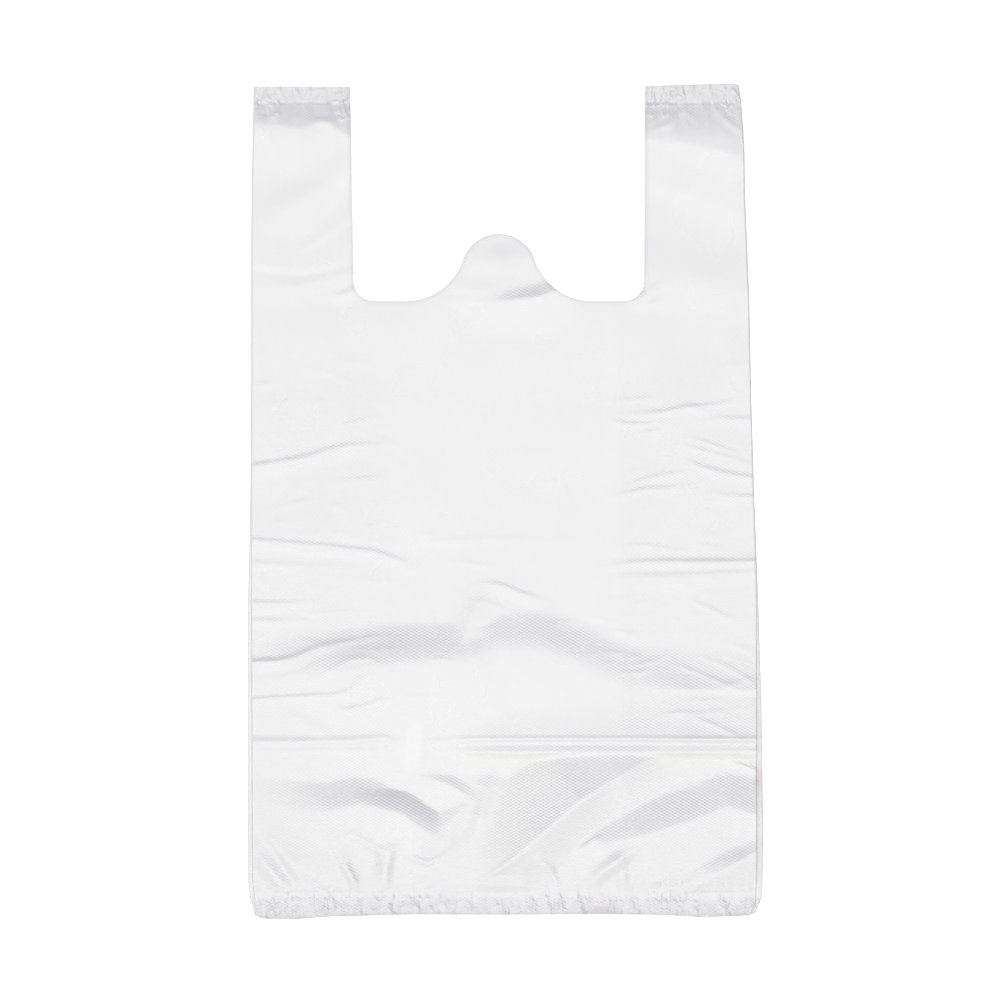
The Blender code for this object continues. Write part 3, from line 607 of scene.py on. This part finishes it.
class Lie:
    """How the tube's film lies: where each ply's edges are and how high the front stands."""

    # how far from a weld the plies are held together
    air_run = 0.022
    # heights, sizes and reaches of the slack, of the gathers at the welds and of the ruffles
    slack_rise, slack_size = 0.10 * MM, 0.055
    gather_rise, gather_size, gather_run = 0.20 * MM, 0.0095, 0.012
    ruffle_rise, ruffle_size, ruffle_swing = 0.26 * MM, 0.0062, 0.015
    # how many faint stray creases there are
    strays_count = 70
    # where the handles' tops are pulled smooth: from this y, over this far
    pulled_from, pulled_run = 0.175, 0.025

    def __init__(self, sizes):
        self.s = sizes
        self.half = sizes.length / 2
        self.bottom_weld = sizes.bottom_skirt - self.half
        self.top_weld = self.half - sizes.handle_skirt
        self.swells = tuple(on_bag(fold) for fold in SWELLS)
        strays = stray_creases(self.strays_count, seed=21)
        self.creases = tuple(on_bag(fold) for fold in CREASES) + strays

    def skirt(self, y):
        """How far into a skirt: 0 at the weld, 1 at the skirt's edge."""
        below = (self.bottom_weld - y) / self.s.bottom_skirt
        above = (y - self.top_weld) / self.s.handle_skirt
        return np.clip(np.maximum(below, above), 0.0, 1.0)

    def off_weld(self, y):
        """The distance from the nearer weld."""
        return np.maximum(np.minimum(y - self.bottom_weld, self.top_weld - y), 0.0)

    def aired(self, y):
        """0 at a weld, and 1 well away from both."""
        share = np.clip(self.off_weld(y) / self.air_run, 0.0, 1.0)
        return share * (2 - share)

    def pitch(self, y):
        """From one ply to the next."""
        gap = self.s.weld_gap + (self.s.ply_gap - self.s.weld_gap) * self.aired(y)
        return self.s.film + gap

    def swell(self, x, y):
        """The large folds."""
        total = sum(fold_height(fold, x, y) ** SWELL_JOIN for fold in self.swells)
        return total ** (1 / SWELL_JOIN) * self.aired(y)

    def crease(self, x, y):
        """The small folds, the slack between them, and the gathers at the welds."""
        total = sum(fold_height(fold, x, y) for fold in self.creases)
        total *= self.aired(y)
        slack = self.slack_rise * (2.0 + waves(x, y, self.slack_size, 9, seed=3))
        total += slack * self.aired(y)
        near = np.exp(-self.off_weld(y) / self.gather_run) * (1 - self.skirt(y))
        total += self.gather_rise * near * waves(x, y, self.gather_size, 8, seed=5, slant=0.25)
        return total

    def slack(self, x, y, tilt):
        """How far the embossing stands out: most on the folds, over the gussets and low down."""
        over_gusset = smooth((np.abs(x + 0.003) - 0.060) / 0.016) * smooth((0.115 - y) / 0.04)
        low = smooth((-0.08 - y) / 0.08)
        by_weld = np.exp(-self.off_weld(y) / 0.016)
        on_fold = smooth((tilt - 0.02) / 0.10)
        pulled = 1 - 0.8 * smooth((y - self.pulled_from) / self.pulled_run)
        return np.clip(0.02 + 0.35 * (over_gusset + low) + (by_weld + on_fold) * pulled, 0.0, 1.0)

    def rumple(self, x, y):
        """How finely crinkled the film is: the loose skirts, and the film beside the welds."""
        total = np.where(y > 0, 0.35, 0.6) * smooth(self.skirt(y) * 3)
        for across, along, wide, high in RUMPLES:
            off = ((x - across * MM) / (wide * MM)) ** 2 + ((y - along * MM) / (high * MM)) ** 2
            torn = 0.5 * waves(x, y, 0.007, 7, seed=17)
            total = np.maximum(total, 0.9 * np.clip(1.1 - off + torn, 0.0, 1.0))
        by_weld = np.exp(-self.off_weld(y) / 0.007)
        return np.maximum(total, 0.3 * by_weld)

    def shade_and_darkening(self, y):
        """How much darker the film is painted: painted shade, most over the handles' skirts and
        beside the bottom weld, least above the foot; it also darkens the bottom skirt and towards
        the bottom.
        """
        skirt = self.skirt(y)
        # painted shade over the handles' skirts, darkest at their welds; the bottom skirt darker
        # towards its edge
        inside = np.where(y > 0, 1.05 - 0.85 * skirt, 0.12 + 0.26 * smooth(skirt * 1.6))
        # painted shade beside the bottom weld, where the film gathers, and darker towards the
        # bottom
        beside = 0.22 * np.exp(-self.off_weld(y) / 0.014) * (y < 0)
        beside += 0.10 * smooth((-0.165 - y) / 0.05)
        return np.where(skirt > 0, inside, beside)

    def ruffle(self, x, y):
        """The crinkles of the loose skirts."""
        loose = smooth(self.skirt(y) * 1.2) ** 0.7 * np.where(y > 0, 0.7, 1.0)
        total = waves(x, y, self.ruffle_size, 9, seed=11, slant=0.35)
        total += 0.9 * waves(x, y, self.ruffle_swing, 6, seed=12, slant=0.3)
        return self.ruffle_rise * loose * (1.1 + total)


def ply_shares(width, column, hem=0.0007):
    """Shares across a ply: evenly spaced, and one more close to each of its folded edges."""
    count = round(width / column)
    even = [i / count for i in range(1, count)]
    return [0.0, hem / width, *even, 1 - hem / width, 1.0]


def section_columns(sizes):
    """Each column of the sheet as (ply, side, share across it), once round the tube."""
    runs = (
        ("back", sizes.face_width / 2, 14), ("outer", 0.0, 0), ("under", sizes.gusset, 11),
        ("inner", 0.0, 0), ("over", sizes.gusset, 3.2), ("turn", 0.0, 0),
    )
    columns = []
    for ply, width, coarse in runs:
        shares = ply_shares(width, coarse * sizes.column) if width else [0.0]
        columns += [(ply, 1, share) for share in shares]
    left = [(ply, -1, share) for ply, _, share in reversed(columns)]
    columns += [("front", 0, share) for share in ply_shares(sizes.face_width, sizes.column)]
    return columns + left


def sheet_rows(sizes, lie):
    """The y of every row: close together where the film is most folded."""
    rows = [-lie.half]
    while rows[-1] < lie.half - sizes.row / 2:
        y = rows[-1]
        fine = y < -0.080 or y > lie.top_weld - 0.012
        coarse = 1.0 if fine else 1.25 if y < 0.080 else 1.7
        rows.append(min(lie.half, y + sizes.row * coarse))
    return np.array(rows)


def lay_sheet(sizes):
    """The place of every point of the sheet, as arrays with a row for each y."""
    lie = Lie(sizes)
    y = sheet_rows(sizes, lie)
    pitch = lie.pitch(y)
    base = sizes.film / 2
    fronts = {1: along_edge(RIGHT_FRONT, y), -1: along_edge(LEFT_FRONT, y)}
    backs = {1: along_edge(RIGHT_BACK, y), -1: along_edge(LEFT_BACK, y)}
    columns = section_columns(sizes)
    across = np.zeros((len(y), len(columns)))
    plies = np.zeros((len(y), len(columns)))
    lifts = np.zeros(len(columns))
    # the front stands on the gussets and settles a little between them, over this far
    settle_run = 0.010
    for i, (ply, side, share) in enumerate(columns):
        if ply == "front":
            across[:, i] = fronts[1] + share * (fronts[-1] - fronts[1])
            depth = np.minimum(fronts[1] - across[:, i], across[:, i] - fronts[-1])
            settle = smooth((sizes.gusset + settle_run - depth) / settle_run)
            plies[:, i] = 2.3 + 0.7 * settle
            lifts[i] = 1.0
            continue
        tuck = fronts[side] - side * sizes.gusset
        places = {
            "back": (share * backs[side], 0.0, 0.0),
            "outer": (backs[side] + side * pitch / 2, 0.5, 0.35),
            "under": (backs[side] + share * (tuck - backs[side]), 1.0, 0.50),
            "inner": (tuck - side * pitch / 2, 1.5, 0.62),
            "over": (tuck + share * (fronts[side] - tuck), 2.0, 0.75),
            "turn": (fronts[side] + side * pitch / 2, 2.5, 0.87),
        }
        across[:, i], plies[:, i], lifts[i] = places[ply]
    along = np.repeat(y[:, None], len(columns), axis=1)
    swell, crease, ruffle = (f(across, along) for f in (lie.swell, lie.crease, lie.ruffle))
    # a small fold may dent the front only as far as the ply under it
    lift = swell * lifts + np.maximum(crease, -0.6 * pitch[:, None]) * lifts ** 2
    # the skirts' plies are loose, and each ruffles in its own way
    lift += ruffle * (0.25 + 0.75 * lifts)
    height = base + pitch[:, None] * plies + lift
    return across, along, height, lie


def die_outline(sizes):
    """The cut's outline, from the right handle's top round the tab to the left handle's top."""
    half, depth, corner = sizes.cut_width / 2, sizes.cut_depth, sizes.cut_corner
    dome_y = sizes.tab_height - sizes.tab_radius
    reach = sizes.tab_radius + sizes.tab_root
    root_x = math.sqrt(reach ** 2 - (sizes.tab_root - dome_y) ** 2)
    join = math.asin((sizes.tab_root - dome_y) / reach)
    quarter = math.pi / 2

    def arc(centre_x, centre_y, radius, start, end, count):
        turns = np.linspace(start, end, count + 1)
        return [(centre_x + radius * math.cos(a), centre_y + radius * math.sin(a)) for a in turns]

    # past the handles' tops, where the handles lean away from the cut
    beyond, right_lean, left_lean = depth + 0.004, 0.0006, 0.0021
    right = [(half + right_lean, beyond)]
    right += arc(half - corner, corner, corner, 0, -quarter, 8)
    right += arc(root_x, sizes.tab_root, sizes.tab_root, 3 * quarter, 2 * quarter + join, 12)
    right += arc(0.0, dome_y, sizes.tab_radius, join, quarter, 14)[1:]
    left = [(-x, y) for x, y in right[-2::-1]]
    left[-1] = (-half - left_lean, beyond)
    floor, middle = sizes.length / 2 - depth, -0.0040
    return np.array([(x + middle, y + floor) for x, y in right + left])


def outline_distance(outline, x, y):
    """Distance to the cut's outline, below 0 inside the cut."""
    nearest = np.full(x.shape, np.inf)
    inside = np.zeros(x.shape, dtype=bool)
    for (x0, y0), (x1, y1) in zip(outline, np.roll(outline, -1, axis=0)):
        run_x, run_y = x1 - x0, y1 - y0
        share = ((x - x0) * run_x + (y - y0) * run_y) / (run_x ** 2 + run_y ** 2)
        share = np.clip(share, 0.0, 1.0)
        nearest = np.minimum(nearest, np.hypot(x - x0 - share * run_x, y - y0 - share * run_y))
        if y0 != y1:
            crosses = (y0 > y) != (y1 > y)
            inside ^= crosses & (x < x0 + (y - y0) * run_x / run_y)
    return np.where(inside, -nearest, nearest)


def face_meets(face, low, high):
    """Whether a face's extent across and along meets a box."""
    x, y = zip(*(vert.co.xy for vert in face.verts))
    return min(x) < high[0] and max(x) > low[0] and min(y) < high[1] and max(y) > low[1]


def cut_sheet(sheet, sizes, edge_shade_layer):
    """Cuts every ply at once along the die's outline, and takes out what is inside it."""
    outline = die_outline(sizes)
    sheet.verts.ensure_lookup_table()
    places = np.array([vert.co for vert in sheet.verts])
    distance = outline_distance(outline, places[:, 0], places[:, 1])
    deep = -4 * sizes.column
    gone = [f for f in sheet.faces if all(distance[v.index] < deep for v in f.verts)]
    near = {v for v in sheet.verts if distance[v.index] < 5 * sizes.column}
    # film near the cut is painted darker: partly the film seen edge-on, partly painted shade
    for vert in near:
        beside = min(1.0, 1.0 - distance[vert.index] / (1.4 * sizes.column))
        vert[edge_shade_layer] = max(vert[edge_shade_layer], beside)
    bmesh.ops.delete(sheet, geom=gone, context="FACES")
    band = {face for vert in near if vert.is_valid for face in vert.link_faces}
    for start, end in zip(outline[:-1], outline[1:]):
        low, high = np.minimum(start, end) - sizes.column, np.maximum(start, end) + sizes.column
        touched = [face for face in band if face_meets(face, low, high)]
        parts = set(touched)
        parts.update(edge for face in touched for edge in face.edges)
        parts.update(vert for face in touched for vert in face.verts)
        way = end - start
        cut = bmesh.ops.bisect_plane(
            sheet, geom=list(parts), dist=1e-7, plane_co=(start[0], start[1], 0.0),
            plane_no=(way[1], -way[0], 0.0),
        )
        band.update(part for part in cut["geom"] if isinstance(part, bmesh.types.BMFace))
    band = [face for face in band if face.is_valid]
    middles = np.array([face.calc_center_median() for face in band])
    depths = outline_distance(outline, middles[:, 0], middles[:, 1])
    inside = [face for face, depth in zip(band, depths) if depth < 0]
    bmesh.ops.delete(sheet, geom=inside, context="FACES")


def build_sheet(sizes):
    """The bag's film as one sheet, with its masks."""
    across, along, height, lie = lay_sheet(sizes)
    rows, columns = across.shape[0] - 1, across.shape[1] - 1
    shift = np.interp(across, *(np.array(BOTTOM_EDGE) * MM).T)
    top_shift = np.interp(across, *(np.array(TOP_EDGE) * MM).T)
    skirt = lie.skirt(along)
    edge_shift = np.where(along < 0, shift, top_shift) * skirt
    weld_width, glint_width = 0.0011, 0.0008
    weld = np.exp(-(((along - lie.bottom_weld) / weld_width) ** 2))
    weld += np.exp(-(((along - lie.top_weld) / weld_width) ** 2))
    # painted highlights along the handles' welds, in places
    glint = np.exp(-(((along - lie.top_weld) / glint_width) ** 2))
    glint *= smooth(0.6 + 0.6 * waves(across, along, 0.013, 5, seed=31, slant=0.2))
    # painted shade on the bottom skirt's rim, partly the film seen edge-on
    rim_shade = 1.15 * smooth((skirt - 0.82) / 0.14) * (along < 0)
    sheet = bmesh.new()
    bmesh.ops.create_grid(sheet, x_segments=columns, y_segments=rows, size=0.5)
    # the plies' folded edges are painted darker: partly the film seen edge-on, partly painted shade
    turned = np.array([ply in ("turn", "outer") for ply, _, _ in section_columns(sizes)])
    tilt = np.abs(np.gradient(height, along[:, 0], axis=0))
    masks = {
        "skirt": skirt, "weld": weld, "edge": np.maximum(0.30 * turned, rim_shade),
        "slack": lie.slack(across, along, tilt), "rumple": lie.rumple(across, along),
        "shade_and_darkening": lie.shade_and_darkening(along), "glint": glint,
    }
    layers = {name: sheet.verts.layers.float.new(name) for name in masks}
    for vert in sheet.verts:
        i, j = round((vert.co.y + 0.5) * rows), round((vert.co.x + 0.5) * columns)
        vert.co = (across[i, j], along[i, j] + edge_shift[i, j], height[i, j])
        for name, mask in masks.items():
            vert[layers[name]] = mask[i, j]
    # the first and last columns are one line down the middle of the back
    bmesh.ops.remove_doubles(sheet, verts=sheet.verts, dist=1e-6)
    cut_sheet(sheet, sizes, layers["edge"])
    # the sheet's outer edges are painted darkest: partly the film seen edge-on, partly painted
    # shade
    for vert in sheet.verts:
        if vert.is_boundary:
            vert[layers["edge"]] = 1.0
    bmesh.ops.recalc_face_normals(sheet, faces=sheet.faces)
    return sheet


def film_finish(look):
    """Milky film with fine embossed diamonds, melted welds and a faint stain, with painted shade
    over the skirts, beside the bottom weld and along the edges, and painted highlights.
    """
    finish = Finish(bpy.data.materials.new("embossed film"))
    x, y = finish.place()
    skirt, weld, edge, slack, rumple, shade_and_darkening, glint = (
        finish.mask(name)
        for name in ("skirt", "weld", "edge", "slack", "rumple", "shade_and_darkening", "glint")
    )
    across = (x * (math.tau / look.diamond_width)).cosine()
    along = (y * (math.tau / look.diamond_height)).cosine()
    pressed = (1 - weld).clamped()
    diamonds = across * along * pressed
    cloud = finish.noise(0.05, 2.0)
    # crinkles run where a noise passes through its middle value
    crinkle = 1 - (finish.noise(0.0065, 2.0, (1.25, 0.5, 1.0)) * 2 - 1).size() * 2.2
    fine = finish.noise(0.0024, 1.0)
    rough_film = crinkle.clamped() * 0.00044 + fine * 0.00022 - 0.00033
    height = diamonds * slack * look.emboss + rough_film * rumple
    bump = finish.node(
        "ShaderNodeBump", None, {"Strength": 1.0, "Distance": 1.0, "Height": height}
    )
    stain = sum(finish.spot(x, y, middle, reach) * share for middle, reach, share in STAINS)
    stain = (stain * (0.2 + cloud)).clamped()
    # painted shade over the skirts, beside the bottom weld and on rumpled film, plus a random tone
    # from the cloud
    shade_and_tone = (shade_and_darkening + rumple * 0.1 + cloud * 0.05).clamped()
    colour = finish.blend(shade_and_tone, look.milk, look.melt_and_shade)
    # a small upright bright patch: a painted highlight
    tuck = finish.spot(x - y * HIGHLIGHT_LEAN, y, *HIGHLIGHT_PATCH, squareness=3.0)
    colour = finish.blend((tuck * 1.3).clamped() * 0.20, colour, look.highlight_colour)
    colour = finish.blend((weld * 0.3).clamped(), colour, look.melt_and_shade)
    # painted highlights along the handles' welds
    colour = finish.blend((glint * 0.4).clamped(), colour, look.highlight_colour)
    # painted shade along the cut and folded edges and the bottom skirt's rim, partly the film seen
    # edge-on
    colour = finish.blend((edge * 0.62).clamped(), colour, look.edge)
    colour = finish.blend(stain * 0.6, colour, look.stain)
    alpha = (look.cover - skirt * 0.05 + edge * 0.1 + diamonds * 0.02).clamped()
    roughness = (look.roughness + cloud * 0.06 - weld * 0.1).clamped()
    surface = finish.node(
        "ShaderNodeBsdfPrincipled",
        None,
        {
            "Base Color": colour, "Roughness": roughness, "Alpha": alpha, "Normal": bump,
            "IOR": look.mirror,
        },
    )
    finish.node("ShaderNodeOutputMaterial", None, {"Surface": surface})
    return finish.owner


def floor_finish(look):
    """A plain pale surface that the camera sees as white and that keeps the bag's shadow."""
    finish = Finish(bpy.data.materials.new("pale floor"))
    ray = [
        finish.node("ShaderNodeLightPath", output=name)
        for name in ("Is Camera Ray", "Is Glossy Ray", "Is Transmission Ray")
    ]
    seen = (ray[0] + ray[1] + ray[2]).clamped()
    matt = finish.node("ShaderNodeBsdfDiffuse", None, {"Color": (*look.floor_colour, 1.0)})
    glow = finish.node("ShaderNodeEmission", None, {"Strength": seen * look.floor_glow})
    both = finish.node("ShaderNodeAddShader", None, {0: matt, 1: glow})
    finish.node("ShaderNodeOutputMaterial", None, {"Surface": both})
    return finish.owner


def room_light(look):
    """A broad white ceiling that gives way to a dim cool side past the handles' right."""
    room = Finish(bpy.data.worlds.new("room"))
    way = room.node("ShaderNodeTexCoord", output="Generated")
    east, north = (room.node("ShaderNodeSeparateXYZ", None, {0: way}, output=i) for i in (0, 1))
    past = east * math.sin(look.shade_turn) + north * math.cos(look.shade_turn)
    start, end = look.shade_edge
    sockets = {"Value": past, "From Min": start, "From Max": end}
    shade = room.node("ShaderNodeMapRange", {"interpolation_type": "SMOOTHSTEP"}, sockets)
    colour = room.blend(shade, look.ceiling, look.shade)
    glow = room.node("ShaderNodeBackground", None, {"Color": colour, "Strength": look.room})
    room.node("ShaderNodeOutputWorld", None, {"Surface": glow})
    return room.owner


def new_piece(name, mesh_data, material):
    """A finished piece, with its place in its mesh."""
    mesh = bpy.data.meshes.new(name)
    mesh_data.to_mesh(mesh)
    mesh_data.free()
    mesh.materials.append(material)
    mesh.shade_smooth()
    piece = bpy.data.objects.new(name, mesh)
    bpy.context.scene.collection.objects.link(piece)
    return piece


class BAG_OT_film(bpy.types.Operator):
    """Build the bag's film in place of the plain solid"""

    bl_idname = "bag.film"
    bl_label = "Film"

    def execute(self, context):
        sizes, look = context.scene.bag_sizes, context.scene.bag_film
        sheet = build_sheet(sizes)
        area = sum(face.calc_area() for face in sheet.faces)
        if not 0.3 < area < 0.5:
            raise RuntimeError(f"the film's area came out as {area:.3f} square metres")
        film = new_piece("film", sheet, film_finish(look))
        around = 2 * sizes.face_width + 4 * sizes.gusset
        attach(film, "root")
        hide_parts("bag")
        return {"FINISHED"}


class BAG_OT_stage(bpy.types.Operator):
    """Lay the pale floor and set up the lamps and the camera"""

    bl_idname = "bag.stage"
    bl_label = "Stage"

    def execute(self, context):
        look = context.scene.bag_stage
        ground = bmesh.new()
        bmesh.ops.create_grid(ground, x_segments=1, y_segments=1, size=3.0)
        bmesh.ops.translate(ground, verts=ground.verts, vec=(0.0, 0.0, -0.0002))
        new_piece("floor", ground, floor_finish(look))
        self.lamp(context, look)
        context.scene.world = room_light(look)
        self.camera(context, look)
        context.scene.view_settings.view_transform = "Standard"
        return {"FINISHED"}

    def lamp(self, context, look):
        """A broad soft light from almost overhead, leaning a little to the bag's foot."""
        data = bpy.data.lights.new("key", "SUN")
        data.energy, data.angle, data.color = look.key, look.key_breadth, look.key_colour
        thing = bpy.data.objects.new("key", data)
        thing.rotation_euler = (math.pi / 2 - look.key_height, 0.0, 0.0)
        context.scene.collection.objects.link(thing)

    def camera(self, context, look):
        """A long lens that looks straight down."""
        data = bpy.data.cameras.new("camera")
        data.sensor_width = 36.0
        data.lens = data.sensor_width * look.camera_height / look.view_width
        thing = bpy.data.objects.new("camera", data)
        thing.location = (*look.view_middle, look.camera_height)
        context.scene.collection.objects.link(thing)
        context.scene.camera = thing


class BAG_PT_panel(bpy.types.Panel):
    """The bag's operators and values"""

    bl_idname = "BAG_PT_panel"
    bl_label = "T-shirt Bag"
    bl_space_type = "VIEW_3D"
    bl_region_type = "UI"
    bl_category = "T-shirt Bag"

    def draw(self, context):
        for group, operator in (
            (context.scene.bag_sizes, None),
            (context.scene.bag_film, "bag.film"),
            (context.scene.bag_stage, "bag.stage"),
        ):
            box = self.layout.box()
            for name in group.__annotations__:
                box.prop(group, name)
            if operator:
                box.operator(operator)


CLASSES = (BagSizes, FilmLook, StageLook, BAG_OT_film, BAG_OT_stage, BAG_PT_panel)


def register():
    for cls in CLASSES:
        bpy.utils.register_class(cls)
    bpy.types.Scene.bag_sizes = bpy.props.PointerProperty(type=BagSizes)
    bpy.types.Scene.bag_film = bpy.props.PointerProperty(type=FilmLook)
    bpy.types.Scene.bag_stage = bpy.props.PointerProperty(type=StageLook)


def unregister():
    del bpy.types.Scene.bag_stage
    del bpy.types.Scene.bag_film
    del bpy.types.Scene.bag_sizes
    for cls in reversed(CLASSES):
        bpy.utils.unregister_class(cls)


def main():
    register()
    bpy.ops.bag.stage()
    bpy.ops.bag.film()


if __name__ == "__main__":
    main()
